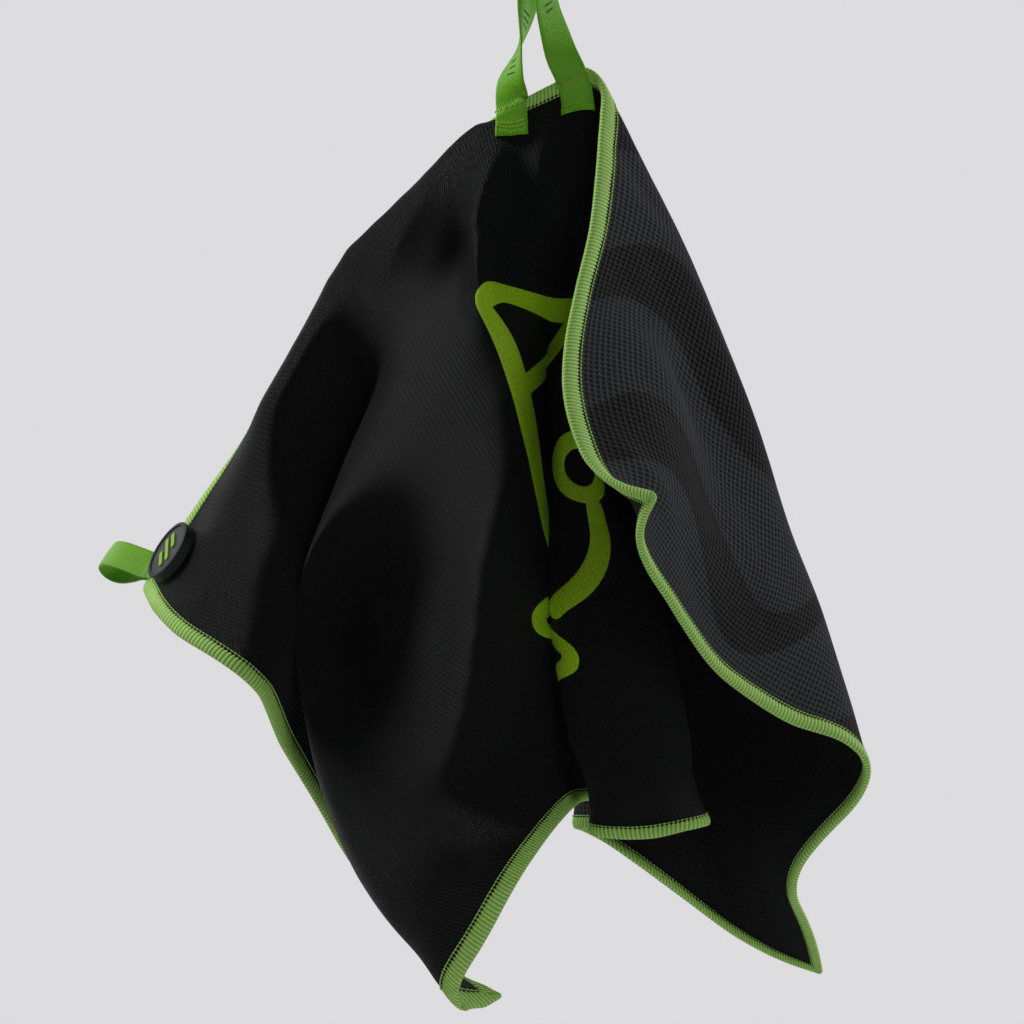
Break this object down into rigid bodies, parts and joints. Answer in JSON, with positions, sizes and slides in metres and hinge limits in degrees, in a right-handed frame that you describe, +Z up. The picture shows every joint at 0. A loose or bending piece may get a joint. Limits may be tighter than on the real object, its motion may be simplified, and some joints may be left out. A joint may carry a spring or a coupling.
{
  "type": "golf towel",
  "caption": "Microfibre golf towel hung by a webbing strap, with contrast overlocked edges, a corner pull tab and a round magnetic badge.",
  "frame": {"origin": "axis of the hook bar that the strap's bight goes over", "axes": "+Z up, -Y towards the viewer who faces the printed side, +X to that viewer's right"},
  "size_m": [0.3767, 0.2465, 0.5224],
  "materials": {
    "microfibre": "brushed waffle microfibre",
    "overlock_thread": "textured polyester overlock",
    "webbing": "flat woven polyester",
    "stitch_thread": "spun thread",
    "badge_rubber": "moulded matt",
    "badge_plate": "moulded satin",
    "badge_mark": "raised soft rubber",
    "magnet": "nickel plated",
    "keeper_steel": "zinc plated"
  },
  "bodies": {
    "strap": {"strap_bight": "webbing", "strap_left_strand": "webbing", "strap_right_strand": "webbing"},
    "towel": {"towel_cloth": "microfibre", "edging_top": "overlock_thread", "edging_left": "overlock_thread", "edging_bottom": "overlock_thread", "edging_right": "overlock_thread", "strap_left_tab": "webbing", "strap_right_tab": "webbing", "strap_seam_thread": "stitch_thread", "strap_hem_thread": "stitch_thread", "badge_housing": "badge_rubber", "badge_back_cap": "badge_rubber", "badge_face": "badge_plate", "badge_emblem": "badge_mark", "badge_magnet": "magnet", "badge_keeper": "keeper_steel", "badge_rivet": "keeper_steel"},
    "front_flap": {"front_flap_cloth": "microfibre", "flap_edging_top": "overlock_thread", "flap_edging_side": "overlock_thread"},
    "pull_tab": {"pull_tab": "webbing", "pull_tab_thread": "stitch_thread"}
  },
  "joints": [
    {"name": "towel_swing", "type": "hinge", "parent": "strap", "child": "towel", "pos_m": [0.00109, -0.0026, -0.07312], "axis": [0.9085, -0.0149, 0.4177], "range_deg": [-25, 25]},
    {"name": "flap_fold", "type": "hinge", "parent": "towel", "child": "front_flap", "pos_m": [0.09875, 0.0014, -0.24134], "axis": [-0.3561, -0.0281, 0.934], "range_deg": [-6, 32]},
    {"name": "pull_tab_flip", "type": "hinge", "parent": "towel", "child": "pull_tab", "pos_m": [-0.18846, 0.03682, -0.30364], "axis": [0.4804, 0.4864, 0.7298], "range_deg": [-25, 25], "stiffness_Nm_per_rad": 0.01}
  ]
}
